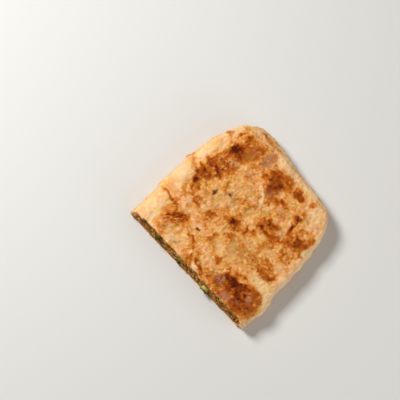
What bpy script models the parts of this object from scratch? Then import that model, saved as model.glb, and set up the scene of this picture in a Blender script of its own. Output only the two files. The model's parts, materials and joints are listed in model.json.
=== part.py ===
"""Half of a layered meat pie: a thin dough folded round three layers of minced meat, fried and cut through.

X runs along the knife cut, Y from the cut (front) to the folded edge at the back, Z up.
The pie lies on its flat underside at Z = 0. Lengths are in metres.
"""

import math

import bmesh
import bpy
from mathutils import Matrix, Vector, noise

MM = 0.001

# Driving dimensions of the half pie.
HALF_WIDTH = 57.0 * MM
DEPTH = 108.0 * MM
THICKNESS = 18.5 * MM
CUT_LEAN = 1.6 * MM

# The dough and what it holds.
CRUST = 2.0 * MM
SHEET = 1.2 * MM
MEAT_LAYERS = 3
FOLD_WIDTH = (8.0 * MM, 6.5 * MM, 8.5 * MM)
GAP = 0.3 * MM

# The folded edge in section: its outermost line, and how far in the top and the underside still curve.
EDGE_HEIGHT = 7.5 * MM
TOP_SHOULDER = 10.5 * MM
WIDER_ON_LEFT = 0.22
UNDER_SHOULDER = 6.5 * MM
SHOULDER_POWER = 2.2
WALL_INSET = 1.4 * MM

# The seam where the outer sheet is folded shut: a groove that wanders round the side wall.
SEAM_DEPTH = 0.7 * MM
SEAM_HEIGHT = 8.5 * MM
SEAM_WANDER = 3.0 * MM
SEAM_SPREAD = 1.5 * MM

# The outline seen from above.
CORNER_CUT = 0.115
CORNER_CUT_MORE_LEFT = 0.02
FAR_SLOPE = 0.075
RIGHT_TAPER = 3.0 * MM
LEFT_BOW = 1.6 * MM
FLAP_BULGE = 3.4 * MM
FLAP_PLACE = 16.0 * MM
FLAP_SPREAD = 9.0 * MM
FAR_BULGE = 2.0 * MM
FAR_BULGE_PLACE = -19.0 * MM
FAR_BULGE_SPREAD = 24.0 * MM
WOBBLE = 0.7 * MM
WOBBLE_LENGTH = 17.0 * MM

# Relief of the top crust: low waves, and the blisters that rose while the pie fried.
WAVE = 0.8 * MM
WAVE_LENGTH = 17.0 * MM
# Each blister: centre X, distance from the cut, radius along X, radius along Y, height, all in mm.
# Its sides run out to nothing at BLISTER_REACH times those radii.
BLISTER_REACH = 1.5
BLISTERS = (
    (-39.0, 83.0, 8.0, 9.0, 1.3),
    (-33.0, 95.0, 9.0, 5.0, 0.9),
    (-39.0, 67.0, 8.0, 8.0, 0.9),
    (-44.0, 53.0, 6.0, 8.0, 0.8),
    (-2.0, 87.0, 8.0, 8.0, 1.3),
    (19.0, 93.0, 5.0, 4.0, 0.8),
    (16.0, 63.0, 6.0, 5.0, 0.8),
    (37.0, 66.0, 8.0, 9.0, 1.1),
    (41.0, 36.0, 8.0, 7.0, 0.8),
    (-2.0, 45.0, 7.0, 5.0, 0.8),
    (-33.0, 18.0, 8.0, 9.0, 0.9),
    (24.0, 11.0, 10.0, 7.0, 1.3),
    (45.0, 14.0, 11.0, 10.0, 1.7),
    (-6.0, 6.0, 6.0, 4.0, 0.6),
)

# Relief of the cut: how unevenly the knife tore the dough, and the rough face of the meat behind it.
TEAR = 0.7 * MM
TEAR_LENGTH = 6.0 * MM
MEAT_RECESS = 0.7 * MM
MEAT_LUMP = 0.8 * MM
MEAT_LUMP_LENGTH = 3.2 * MM
MEAT_CALMER_BY_SHEET = 0.6
SHEET_WAVE = 0.9 * MM
SHEET_WAVE_LENGTH = 15.0 * MM
SHEET_STRETCH = 0.3

# Scallion slices stuck in the cut: X, height, how far out, blade length, curl radius, tilt in degrees.
SCALLIONS = (
    (18.5, 6.2, 2.6, 5.5, 2.6, 20.0),
    (-31.0, 9.8, 1.2, 4.0, 2.1, -35.0),
    (-9.0, 4.4, 1.0, 3.6, 1.8, 60.0),
)
BLADE_THICKNESS = 0.9 * MM
BLADE_CURL = math.radians(230.0)
BLADE_GRID = (12, 1, 2)

# How finely the pieces are divided along X, Y and Z, how far a pocket's cutter reaches past the cut,
# and what counts as no distance.
CRUST_GRID = (42, 27, 7)
POCKET_GRID = (20, 5, 1)
MEAT_GRID = (40, 5, 3)
PAST_CUT = 8.0 * MM
EPSILON = 1e-6


def clear_scene():
    for thing in list(bpy.data.objects):
        bpy.data.objects.remove(thing)


def new_collection(name):
    collection = bpy.data.collections.new(name)
    bpy.context.scene.collection.children.link(collection)
    return collection


def new_material(name, colour, roughness):
    made = bpy.data.materials.new(name)
    made.use_nodes = True
    shader = made.node_tree.nodes["Principled BSDF"]
    shader.inputs["Base Color"].default_value = (*colour, 1.0)
    shader.inputs["Roughness"].default_value = roughness
    shader.inputs["Metallic"].default_value = 0.0
    return made


def new_object(name, shape, collection, surface=None):
    """Turns a bmesh into a named object, with its faces pointing out."""
    bmesh.ops.recalc_face_normals(shape, faces=shape.faces)
    mesh = bpy.data.meshes.new(name)
    shape.to_mesh(mesh)
    shape.free()
    made = bpy.data.objects.new(name, mesh)
    collection.objects.link(made)
    if surface:
        mesh.materials.append(surface)
    return made


def block(columns, rows, levels):
    """A cube from -1 to 1 with that many faces along X, Y and Z."""
    shape = bmesh.new()
    bmesh.ops.create_cube(shape, size=2.0)
    for axis, count in enumerate((columns, rows, levels)):
        along = [e for e in shape.edges if abs((e.verts[0].co - e.verts[1].co)[axis]) > EPSILON]
        if count > 1:
            bmesh.ops.subdivide_edges(shape, edges=along, cuts=count - 1, use_grid_fill=True)
    return shape


def toward_both_rims(f):
    """Draws evenly spaced grid lines, from -1 to 1, closer together near both ends."""
    return f * (1.4 - 0.4 * f * f)


def toward_far_rim(f):
    """Draws evenly spaced grid lines, from 0 to 1, closer together near 1."""
    return f * (1.25 - 0.25 * f**3)


def plan(across, along):
    """The point of the plan at a share of the half width (-1 to 1) and of the depth (0 at the cut, 1 far)."""
    corner = CORNER_CUT + (CORNER_CUT_MORE_LEFT if across < 0 else 0.0)
    power = (1 - corner) / corner
    x = HALF_WIDTH * across * (1 - corner * along**power)
    y = DEPTH * along * (1 - corner * abs(across) ** power)
    rim = max(abs(across), along) ** 6
    if across > 0:
        x -= RIGHT_TAPER * across * along**2
        x += FLAP_BULGE * across**6 * math.exp(-(((y - FLAP_PLACE) / FLAP_SPREAD) ** 2))
    else:
        x -= LEFT_BOW * across**2 * math.sin(math.pi * along)
    y -= FAR_SLOPE * x * along**3
    y += FAR_BULGE * along**6 * math.exp(-(((x - FAR_BULGE_PLACE) / FAR_BULGE_SPREAD) ** 2))
    wobble = WOBBLE * rim * noise.noise(Vector((x, y, 0.0)) / WOBBLE_LENGTH)
    return x + wobble * math.copysign(1.0, across), y + wobble * along


def rim_distance(across, along):
    """Roughly how far a point of the plan lies inside the outline."""
    from_side = max(HALF_WIDTH * (1 - abs(across)), EPSILON)
    from_far = max(DEPTH * (1 - along), EPSILON)
    return (from_side**-3 + from_far**-3) ** (-1 / 3)


def shoulder(distance, reach):
    """The rounded rise of the folded edge: 0 at the outline, 1 from reach inwards."""
    left = max(1 - distance / reach, 0.0)
    return (1 - left**SHOULDER_POWER) ** (1 / SHOULDER_POWER)


def shoulder_inset(rise, reach):
    """The distance from the outline at which shoulder() has risen that far."""
    return reach * (1 - (1 - min(rise, 1.0) ** SHOULDER_POWER) ** (1 / SHOULDER_POWER))


def top_reach(across):
    """How far in from the outline the top still curves: wider on the left than on the right."""
    return TOP_SHOULDER * (1 - WIDER_ON_LEFT * across)


def smooth_top(distance, across):
    return EDGE_HEIGHT + (THICKNESS - EDGE_HEIGHT) * shoulder(distance, top_reach(across))


def underside(distance):
    return EDGE_HEIGHT * (1 - shoulder(distance, UNDER_SHOULDER))


def relief(x, y):
    """The height of the waves and blisters of the top crust."""
    height = WAVE * noise.noise(Vector((x, y, 0.01)) / WAVE_LENGTH)
    for centre_x, centre_y, radius_x, radius_y, rise in BLISTERS:
        away = math.hypot((x / MM - centre_x) / radius_x, (y / MM - centre_y) / radius_y)
        if away < BLISTER_REACH:
            height += rise * MM * (1 + math.cos(math.pi * away / BLISTER_REACH)) / 2
    return height


def wall_inset(height, across, along):
    """How far inside the outline the side wall lies at a height, with the seam's groove."""
    x, y = plan(across, along)
    seam = SEAM_HEIGHT + SEAM_WANDER * noise.noise(Vector((x, y, 0.02)) / WOBBLE_LENGTH)
    groove = SEAM_DEPTH * math.exp(-(((height - seam) / SEAM_SPREAD) ** 2))
    if height > EDGE_HEIGHT:
        rise = (height - EDGE_HEIGHT) / (THICKNESS - EDGE_HEIGHT)
        return shoulder_inset(rise, top_reach(across)) + groove
    return shoulder_inset((EDGE_HEIGHT - height) / EDGE_HEIGHT, UNDER_SHOULDER) + groove


def inset_shares(across, along, inset):
    """Moves a point of the plan inwards by a distance, towards the middle of the cut."""
    return across * (1 - inset / HALF_WIDTH), along * (1 - inset / DEPTH)


def knife_line(height):
    """Y of the cut at a height: the underside reaches further out than the top."""
    return -CUT_LEAN * (1 - height / THICKNESS)


def torn_cut(x, height):
    """Y of the dough's torn edges in the cut."""
    return knife_line(height) + TEAR * noise.noise(Vector((x, 0.03, height)) / TEAR_LENGTH)


def make_dough(collection, surface):
    """The folded dough, still without its pockets: a soft slab with a torn front face."""
    shape = block(*CRUST_GRID)
    for vertex in shape.verts:
        column, row, level = vertex.co
        across = toward_both_rims(column)
        along = toward_far_rim((row + 1) / 2)
        on_wall = abs(column) > 1 - EPSILON or row > 1 - EPSILON
        share_x, share_y = inset_shares(across, along, WALL_INSET)
        distance = rim_distance(share_x, share_y)
        low, high = underside(distance), smooth_top(distance, across)
        height = low + (high - low) * (level + 1) / 2
        if on_wall and abs(level) < 1 - EPSILON:
            inset = wall_inset(height, across, along)
            share_x, share_y = inset_shares(across, along, inset)
        x, y = plan(share_x, share_y)
        if level > 1 - EPSILON:
            height += relief(x, y) * shoulder(distance, top_reach(across)) ** 2
        if row < -1 + EPSILON:
            y = torn_cut(x, height)
        vertex.co = (x, y, height)
    join_flat_faces(shape)
    return new_object("dough", shape, collection, surface)


def join_flat_faces(shape):
    """Makes one face of the flat part of the underside."""
    lying = [f for f in shape.faces if all(abs(v.co.z) < EPSILON for v in f.verts)]
    bmesh.ops.dissolve_faces(shape, faces=lying, use_verts=False)


def sheet_height(number, x, y, distance, across):
    """The middle of dough sheet 0 (the bottom crust) to MEAT_LAYERS (the top crust), in the stack."""
    low = underside(distance) + CRUST - SHEET / 2
    high = smooth_top(distance, across) - CRUST + SHEET / 2
    height = low + (high - low) * number / MEAT_LAYERS
    if 0 < number < MEAT_LAYERS:
        height += SHEET_WAVE * noise.noise(Vector((x, y * SHEET_STRETCH, number * 0.05)) / SHEET_WAVE_LENGTH)
    return height


def layer_shape(number, grid, gap, past_cut):
    """One meat layer between two dough sheets, drawn in by a gap on every side."""
    shape = block(*grid)
    for vertex in shape.verts:
        column, row, level = vertex.co
        along = (row + 1) / 2
        across = toward_both_rims(column)
        inset = FOLD_WIDTH[number] + gap
        share_x, share_y = inset_shares(across, toward_far_rim(along), inset)
        x, y = plan(share_x, share_y)
        distance = rim_distance(share_x, share_y)
        floor = sheet_height(number, x, y, distance, across) + SHEET / 2 + gap
        ceiling = sheet_height(number + 1, x, y, distance, across) - SHEET / 2 - gap
        height = floor + (ceiling - floor) * (level + 1) / 2
        if row < -1 + EPSILON:
            y = -past_cut if past_cut else meat_face(number, x, height, level)
        vertex.co = (x, y, height)
    return shape


def meat_face(number, x, height, level):
    """Y of the meat's rough surface in the cut, a little behind the edges of the dough sheets."""
    lump = noise.noise(Vector((x, number * 0.02, height)) / MEAT_LUMP_LENGTH)
    lump *= 1 - MEAT_CALMER_BY_SHEET * abs(level)
    return knife_line(height) + MEAT_RECESS + MEAT_LUMP * lump


def blade_shape(blade, thickness, extra):
    """A curled slice of scallion leaf, bent from a flat strip, with its curl open to the pie."""
    x, height, out, length, radius, tilt = blade
    shape = block(*BLADE_GRID)
    for vertex in shape.verts:
        column, row, level = vertex.co
        angle = BLADE_CURL / 2 * column * (1 + extra / (radius * MM))
        ring = radius * MM + row * thickness / 2
        depth = level * (length * MM / 2 + extra)
        vertex.co = (ring * math.sin(angle), depth, ring * math.cos(angle))
    place = Vector((x * MM, knife_line(height * MM) - out * MM + length * MM / 2, height * MM))
    turn = Matrix.Rotation(math.radians(tilt), 4, "Y")
    bmesh.ops.transform(shape, matrix=Matrix.Translation(place) @ turn, verts=shape.verts)
    return shape


def cut_away(target, cutter):
    """Cuts one object out of another with a Boolean."""
    modifier = target.modifiers.new("cut_" + cutter.name, "BOOLEAN")
    modifier.operation = "DIFFERENCE"
    modifier.solver = "EXACT"
    modifier.object = cutter
    cutter.hide_render = True
    cutter.display_type = "WIRE"


def stand_on_origin(objects):
    """Moves everything so that the origin is under the middle of the pie, on what it stands on."""
    depsgraph = bpy.context.evaluated_depsgraph_get()
    corners = []
    for thing in objects:
        if not thing.hide_render:
            shown = thing.evaluated_get(depsgraph)
            corners += [shown.matrix_world @ Vector(c) for c in shown.bound_box]
    lowest = Vector(min(c[axis] for c in corners) for axis in range(3))
    highest = Vector(max(c[axis] for c in corners) for axis in range(3))
    middle = (lowest + highest) / 2
    for thing in objects:
        thing.location -= Vector((middle.x, middle.y, lowest.z))


def main():
    clear_scene()
    pie = new_collection("layered_meat_pie")
    cutters = new_collection("cutters")
    crust_surface = new_material("fried_dough", (0.62, 0.30, 0.10), 0.5)
    meat_surface = new_material("minced_meat", (0.19, 0.09, 0.035), 0.55)
    scallion_surface = new_material("scallion", (0.22, 0.27, 0.05), 0.4)

    dough = make_dough(pie, crust_surface)
    meats = []
    for number in range(MEAT_LAYERS):
        pocket = new_object(
            f"pocket_{number + 1}", layer_shape(number, POCKET_GRID, 0.0, PAST_CUT), cutters
        )
        cut_away(dough, pocket)
        meat = new_object(
            f"meat_{number + 1}", layer_shape(number, MEAT_GRID, GAP, 0.0), pie, meat_surface
        )
        meats.append(meat)
    for number, blade in enumerate(SCALLIONS):
        slot = new_object(
            f"slot_{number + 1}",
            blade_shape(blade, BLADE_THICKNESS + 2 * GAP, GAP),
            cutters,
        )
        new_object(
            f"scallion_{number + 1}",
            blade_shape(blade, BLADE_THICKNESS, 0.0),
            pie,
            scallion_surface,
        )
        for piece in (dough, *meats):
            cut_away(piece, slot)
    stand_on_origin(pie.objects[:] + cutters.objects[:])


main()
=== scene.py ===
# %% [markdown]
# # Half of a layered meat pie
#
# A thin sheet of wheat dough is spread with minced meat and scallion, folded over and over into a flat
# parcel, fried in a little oil until both faces are browned in patches, and cut across with a knife.
# This half lies on its underside with the cut towards the camera.
#
# The CAD solids give every size: the folded dough, three meat layers, and three slices of scallion at
# the cut. This script keeps their places and gives them the looks of the real food, piece by piece.

# %% Load the CAD solids
import json
import math

import bmesh
import bpy
import numpy as np
from mathutils import Matrix, Vector, noise
from mathutils.bvhtree import BVHTree
from mathutils.kdtree import KDTree

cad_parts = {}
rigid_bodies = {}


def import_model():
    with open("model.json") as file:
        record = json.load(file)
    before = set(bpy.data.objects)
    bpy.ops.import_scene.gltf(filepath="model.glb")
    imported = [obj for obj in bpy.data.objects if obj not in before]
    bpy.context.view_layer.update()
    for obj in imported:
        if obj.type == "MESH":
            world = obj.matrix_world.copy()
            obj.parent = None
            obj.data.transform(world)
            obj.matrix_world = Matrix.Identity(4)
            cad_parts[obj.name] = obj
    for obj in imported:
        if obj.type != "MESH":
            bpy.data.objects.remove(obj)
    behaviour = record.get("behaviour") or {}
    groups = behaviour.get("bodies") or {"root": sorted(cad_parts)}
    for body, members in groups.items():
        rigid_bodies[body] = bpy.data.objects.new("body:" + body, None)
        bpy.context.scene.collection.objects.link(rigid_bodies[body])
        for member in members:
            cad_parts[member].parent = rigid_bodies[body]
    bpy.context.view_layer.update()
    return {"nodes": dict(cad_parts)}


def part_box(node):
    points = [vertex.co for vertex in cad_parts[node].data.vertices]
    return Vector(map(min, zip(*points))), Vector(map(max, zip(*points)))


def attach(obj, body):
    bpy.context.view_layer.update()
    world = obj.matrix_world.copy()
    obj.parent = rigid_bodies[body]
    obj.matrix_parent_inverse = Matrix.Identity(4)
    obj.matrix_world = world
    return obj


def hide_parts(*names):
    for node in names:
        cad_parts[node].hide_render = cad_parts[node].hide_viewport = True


MM = 0.001
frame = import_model()
dough_low, dough_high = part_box("dough")
print("nodes:", sorted(frame["nodes"]))
print("dough from", dough_low[:], "to", dough_high[:])

# %% [markdown]
# ## The knife cut
#
# The cut is the pie's front. The knife leaned a little, so the underside reaches further out than the
# top. Its plane is read from the CAD dough: the mean of the front points near the top, and of those near
# the bottom. Places on the pie are easiest to give as a cook would: so far along the cut from its left
# end, and so far in from the cut.

# %% Read the cut's plane
FRONT_REACH = 4.0 * MM


def node_points(name):
    """The points of a CAD node as an array, in metres."""
    mesh = frame["nodes"][name].data
    points = np.empty(len(mesh.vertices) * 3)
    mesh.vertices.foreach_get("co", points)
    return points.reshape(-1, 3)


dough_points = node_points("dough")
front = dough_points[dough_points[:, 1] < dough_low.y + FRONT_REACH]
TOP_OF_CUT = np.median(front[front[:, 2] > np.percentile(front[:, 2], 90)], axis=0)
FOOT_OF_CUT = np.median(front[front[:, 2] < np.percentile(front[:, 2], 10)], axis=0)
knife_up = Vector((0.0, TOP_OF_CUT[1] - FOOT_OF_CUT[1], TOP_OF_CUT[2] - FOOT_OF_CUT[2])).normalized()
KNIFE_POINT = Vector((0.0, TOP_OF_CUT[1], TOP_OF_CUT[2]))
KNIFE_NORMAL = Vector((0.0, -knife_up.z, knife_up.y))


def knife_y(z):
    """Y of the knife's plane at a height."""
    return KNIFE_POINT.y + (z - KNIFE_POINT.z) * knife_up.y / knife_up.z


print("cut: top edge at y", round(knife_y(0.0185) * 1000, 2), "mm, foot at", round(knife_y(0) * 1000, 2))

# %% [markdown]
# ## Camera
#
# The photo was taken from almost overhead, with a long lens, and the pie lies turned on the table: its
# cut runs down to the right. The camera's axes are built from that: one axis along the cut, one leading
# away from it, both turned by the same angle in the picture.

# %% Place the camera
VIEW_ELEVATION = math.radians(78.0)
CUT_TURN_IN_PICTURE = math.radians(46.4)
CAMERA_DISTANCE = 1.4
PICTURE_WIDTH = 0.285
LEFT_BULGE = 2.9 * MM
CORNER_X = dough_low.x + LEFT_BULGE
LOOK_AT = Vector((CORNER_X + 26.2 * MM, KNIFE_POINT.y + 38.6 * MM, 18.5 * MM))

bpy.ops.object.select_all(action="DESELECT")
bpy.ops.object.camera_add()
camera = bpy.context.object
camera.name = "camera"
along_cut = Vector((1.0, 0.0, 0.0))
away_from_cut = Vector((0.0, math.sin(VIEW_ELEVATION), math.cos(VIEW_ELEVATION)))
right = along_cut * math.cos(CUT_TURN_IN_PICTURE) + away_from_cut * math.sin(CUT_TURN_IN_PICTURE)
up = away_from_cut * math.cos(CUT_TURN_IN_PICTURE) - along_cut * math.sin(CUT_TURN_IN_PICTURE)
back = right.cross(up)
turn = Matrix((right, up, back)).transposed().to_4x4()
camera.matrix_world = Matrix.Translation(LOOK_AT + back * CAMERA_DISTANCE) @ turn
camera.data.sensor_width = 36.0
camera.data.lens = camera.data.sensor_width * CAMERA_DISTANCE / PICTURE_WIDTH
camera.data.clip_end = 20.0
bpy.context.scene.camera = camera
print("lens", round(camera.data.lens, 1), "mm")

# %% [markdown]
# ## Floor and light
#
# A plain pale floor, a large soft window light from the left end of the cut, an even fill, and a weak low
# card on the right that lifts the folded edge there. The standard view transform keeps the pale dough and
# the browned patches as far apart as in the photo.

# %% Floor, lights and colour
FLOOR_COLOUR = (0.72, 0.71, 0.68, 1.0)
WINDOW_FROM = Vector((-0.72, -0.12, 0.78))
WINDOW_SIZE = 0.30
WINDOW_POWER = 10.9
FILL_FROM = Vector((1.0, 0.25, 0.55))
FILL_POWER = 3.7
CARD_FROM = Vector((0.58, 0.08, 0.13))
CARD_POWER = 0.72
SKY_STRENGTH = 0.21

bpy.ops.mesh.primitive_plane_add(size=8.0, location=(0.0, 0.0, 0.0))
floor = bpy.context.object
floor.name = "floor"
floor_material = bpy.data.materials.new("floor")
floor_material.use_nodes = True
floor_shader = floor_material.node_tree.nodes["Principled BSDF"]
floor_shader.inputs["Base Color"].default_value = FLOOR_COLOUR
floor_shader.inputs["Roughness"].default_value = 0.6
floor.data.materials.append(floor_material)


def add_window(name, place, size, power):
    """A square area light that faces the pie."""
    bpy.ops.object.light_add(type="AREA", location=place)
    light = bpy.context.object
    light.name = name
    light.data.size = size
    light.data.energy = power
    light.rotation_euler = (-Vector(place)).to_track_quat("-Z", "Y").to_euler()
    return light


add_window("window", WINDOW_FROM, WINDOW_SIZE, WINDOW_POWER)
add_window("fill", FILL_FROM, 1.2, FILL_POWER)
add_window("card", CARD_FROM, 0.3, CARD_POWER)
world = bpy.data.worlds.new("sky")
bpy.context.scene.world = world
world.use_nodes = True
world.node_tree.nodes["Background"].inputs["Color"].default_value = (1.0, 0.98, 0.95, 1.0)
world.node_tree.nodes["Background"].inputs["Strength"].default_value = SKY_STRENGTH
bpy.context.scene.view_settings.view_transform = "Standard"

# %% [markdown]
# ## Small helpers
#
# An operator acts on what is selected, so each step first says which object is meant, and picks its
# faces or edges by place and direction, as the hand would.

# %% Helpers for operators
MERGE = 0.00002


def start_editing():
    """Enters edit mode with the whole mesh selected."""
    bpy.ops.object.mode_set(mode="EDIT")
    bpy.ops.mesh.select_all(action="SELECT")


def stop_editing():
    """Goes back to object mode."""
    bpy.ops.object.mode_set(mode="OBJECT")


def make_active(thing):
    """Selects one object and nothing else."""
    if bpy.context.object and bpy.context.object.mode != "OBJECT":
        stop_editing()
    bpy.ops.object.select_all(action="DESELECT")
    thing.select_set(True)
    bpy.context.view_layer.objects.active = thing
    return thing


def new_piece(name, mesh):
    """Puts a mesh in the scene as an object at the origin, and makes it the active one."""
    mesh.name = name
    piece = bpy.data.objects.new(name, mesh)
    bpy.context.scene.collection.objects.link(piece)
    return make_active(piece)


def copy_node(node, name):
    """A free copy of a CAD node, with its loose triangles merged."""
    piece = new_piece(name, frame["nodes"][node].data.copy())
    piece.data.materials.clear()
    bpy.ops.mesh.customdata_custom_splitnormals_clear()
    start_editing()
    bpy.ops.mesh.remove_doubles(threshold=MERGE)
    stop_editing()
    return piece


def pick_faces(wanted):
    """In edit mode, selects the faces for which wanted(face) is true, and nothing else."""
    bpy.ops.mesh.select_mode(type="FACE")
    bpy.ops.mesh.select_all(action="DESELECT")
    mesh = bpy.context.object.data
    shape = bmesh.from_edit_mesh(mesh)
    for face in shape.faces:
        face.select_set(wanted(face))
    bmesh.update_edit_mesh(mesh)


def pick_open_edges():
    """In edit mode, selects the edges round the mesh's openings."""
    bpy.ops.mesh.select_mode(type="EDGE")
    bpy.ops.mesh.select_all(action="DESELECT")
    bpy.ops.mesh.select_non_manifold(
        extend=False, use_wire=False, use_boundary=True, use_multi_face=False,
        use_non_contiguous=False, use_verts=False,
    )


def cut_mesh(place, close=False):
    """In edit mode, cuts along the knife's plane, moved to a place, and takes off what lies in front."""
    bpy.ops.mesh.bisect(
        plane_co=place, plane_no=KNIFE_NORMAL, use_fill=close, clear_inner=False, clear_outer=True
    )


def apply_modifier(kind, **settings):
    """Adds a modifier to the active object and applies it."""
    bpy.ops.object.modifier_add(type=kind)
    modifier = bpy.context.object.modifiers[-1]
    for name, value in settings.items():
        setattr(modifier, name, value)
    bpy.ops.object.modifier_apply(modifier=modifier.name)


def points_of(piece):
    """The points of a piece as an array of rows, in metres."""
    points = np.empty(len(piece.data.vertices) * 3)
    piece.data.vertices.foreach_get("co", points)
    return points.reshape(-1, 3)


def normals_of(piece):
    """The direction in which the surface faces at each point of a piece."""
    normals = np.empty(len(piece.data.vertices) * 3)
    piece.data.vertices.foreach_get("normal", normals)
    return normals.reshape(-1, 3)


def set_points(piece, points):
    """Moves the points of a piece to new places."""
    piece.data.vertices.foreach_set("co", points.ravel())
    piece.data.update()


def set_values(piece, name, values):
    """Stores one number for each point, for the material to read."""
    attribute = piece.data.attributes.get(name) or piece.data.attributes.new(name, "FLOAT", "POINT")
    attribute.data.foreach_set("value", np.asarray(values, dtype=np.float32))


def triangles(piece):
    """How many triangles the faces of a piece make."""
    return sum(len(face.vertices) - 2 for face in piece.data.polygons)


# %% [markdown]
# ## Crust: the outer sheet
#
# The real crust is the outermost turn of the dough, wrapped round the left, far and right sides and open
# at the cut. Its form is already in the CAD dough, so a copy of that is kept as clay: the faces of the
# cut come off, which frees the outer skin from the pockets, and the skin is closed again in front of the
# cut. A voxel remesh then gives even quads that can carry fine relief, and smoothing takes the facets out.

# %% Outer skin
PAST_CUT = 6.0 * MM
SKIN_VOXEL = 1.15 * MM

crust = copy_node("dough", "crust")
start_editing()
pick_faces(lambda face: face.normal.y < -0.5 and face.calc_center_median().y < dough_low.y + FRONT_REACH)
bpy.ops.mesh.delete(type="FACE")
pick_faces(lambda face: face.calc_center_median().z > dough_high.z - 2.0 * MM)
bpy.ops.mesh.select_linked()
bpy.ops.mesh.select_all(action="INVERT")
bpy.ops.mesh.delete(type="VERT")
pick_open_edges()
bpy.ops.mesh.extrude_region_move(TRANSFORM_OT_translate={"value": (0.0, -PAST_CUT, 0.0)})
bpy.ops.transform.resize(value=(1.0, 0.0, 1.0), center_override=(0.0, dough_low.y - PAST_CUT, 0.0))
bpy.ops.mesh.edge_face_add()
bpy.ops.mesh.select_all(action="SELECT")
bpy.ops.mesh.normals_make_consistent(inside=False)
stop_editing()
crust.data.remesh_voxel_size = SKIN_VOXEL
bpy.ops.object.voxel_remesh()
apply_modifier("SMOOTH", factor=0.5, iterations=6)
print("skin:", len(crust.data.vertices), "points")

# %% [markdown]
# The inside of the wrapper is a smaller copy of the skin: moved in by the crust's thickness, and narrower
# still at the sides, where the folded edges are several turns of dough thick. Both are cut off at the
# knife's plane, and a bridge between their rims makes the cut edge of the dough.

# %% Hollow the wrapper and cut it
CRUST = 1.7 * MM
FOLD = 7.5 * MM
HOLLOW_VOXEL = 2.0 * MM
RIM_CUTS = 6

hollow = new_piece("hollow", crust.data.copy())
hollow.data.remesh_voxel_size = HOLLOW_VOXEL
bpy.ops.object.voxel_remesh()
start_editing()
bpy.ops.transform.shrink_fatten(value=-CRUST)
half_width = (dough_high.x - dough_low.x) / 2
depth = dough_high.y - dough_low.y
bpy.ops.transform.resize(
    value=((half_width - FOLD) / (half_width - CRUST), (depth - FOLD) / (depth - CRUST), 1.0),
    center_override=(0.0, dough_low.y, 0.0),
)
stop_editing()
print("hollow from", [round(c * 1000, 1) for c in points_of(hollow).min(0)],
      "to", [round(c * 1000, 1) for c in points_of(hollow).max(0)])

for shell in (crust, hollow):
    make_active(shell)
    start_editing()
    cut_mesh(KNIFE_POINT)
    stop_editing()
    set_values(shell, "outside", [1.0 if shell is crust else 0.0] * len(shell.data.vertices))
make_active(hollow)
start_editing()
bpy.ops.mesh.flip_normals()
stop_editing()
make_active(crust)
hollow.select_set(True)
bpy.ops.object.join()
start_editing()
pick_open_edges()
bpy.ops.mesh.bridge_edge_loops(number_cuts=RIM_CUTS, interpolation="LINEAR")
print("wrapper:", triangles(crust), "triangles")


def on_cut(face):
    """Whether a face is part of the dough's cut edge."""
    off_plane = (face.calc_center_median() - KNIFE_POINT).dot(KNIFE_NORMAL)
    return face.normal.dot(KNIFE_NORMAL) > 0.9 and abs(off_plane) < 0.2 * MM


# %% [markdown]
# Only what can be seen close up is refined: the top, the sides and the cut edge. The underside and the
# inside keep the coarser quads.

# %% Refine the visible skin
shape = bmesh.from_edit_mesh(crust.data)
outside_layer = shape.verts.layers.float["outside"]
pick_faces(
    lambda face: on_cut(face) or (face.normal.z > -0.35 and all(v[outside_layer] > 0.5 for v in face.verts))
)
bpy.ops.mesh.subdivide(number_cuts=1, smoothness=0.0)
stop_editing()
print("crust:", triangles(crust), "triangles")

# %% [markdown]
# ## Relief of the fried crust
#
# Under the thin crust lies lumpy meat, and the oil raised bubbles in the dough: broad blisters where the
# pan browned it most, small bubbles between them, and a few creases where the sheet folded on itself.
# The pale folded edges never touched the pan and stay smoother, but their sides are pleated and dimpled, a
# broken line runs along them where the sheet laps over itself, and the right edge has a low lip. Each kind
# of unevenness is one function of the place, and their sum moves the points out along their normals, as a
# sculptor's brush would.

# %% Places on the pie
def pie_place(points):
    """How far points lie along the cut from its left end, and in from the cut, in millimetres."""
    return (points[:, 0] - CORNER_X) / MM, (points[:, 1] - KNIFE_POINT.y) / MM


def rough(points, size, layer=0.0):
    """Soft noise from -1 to 1 at each point, in lumps of about a size in metres."""
    return np.array([noise.noise((x / size, y / size, z / size + layer)) for x, y, z in points])


def bubbles(points, size, layer=0.0):
    """Domes from 0 to 1, one in each cell of an uneven net of a size in metres."""
    heights = []
    for x, y, z in points:
        near = noise.voronoi((x / size, y / size, z / size + layer), distance_metric="DISTANCE")[0]
        heights.append(max(0.0, 1.0 - (near[0] / 0.62) ** 2) * min(1.0, (near[1] - near[0]) * 4.0))
    return np.array(heights)


def ridges(points, size, width, layer=0.0):
    """1 along thin lines that wander over the surface about a size apart, falling to 0 within a width."""
    moved = [rough(points, size * 0.8, layer + more) for more in (60.0, 70.0)]
    wandering = points + 0.35 * size * np.column_stack((*moved, np.zeros(len(points))))
    return np.clip(1.0 - np.abs(rough(wandering, size, layer)) * size / width * 0.5, 0.0, 1.0)


def fade(values, start, end):
    """0 where a value is at the start, 1 where it is at the end, and a smooth step between."""
    share = np.clip((values - start) / (end - start), 0.0, 1.0)
    return share * share * (3.0 - 2.0 * share)


def hump(values, middle, width):
    """1 in the middle, falling to 0 as a bell does over a width."""
    return np.exp(-(((values - middle) / width) ** 2))


def spots(along, inward, places):
    """The share, 0 to 1, by which each point lies in each of some turned ovals, one row for each oval."""
    shares = []
    for centre_along, centre_in, reach_along, reach_in, turned, *_ in places:
        angle = math.radians(turned)
        dx, dy = along - centre_along, inward - centre_in
        across = (dx * math.cos(angle) + dy * math.sin(angle)) / reach_along
        upward = (dy * math.cos(angle) - dx * math.sin(angle)) / reach_in
        shares.append(1.0 - fade(np.hypot(across, upward), 0.4, 1.45))
    return np.array(shares)


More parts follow.
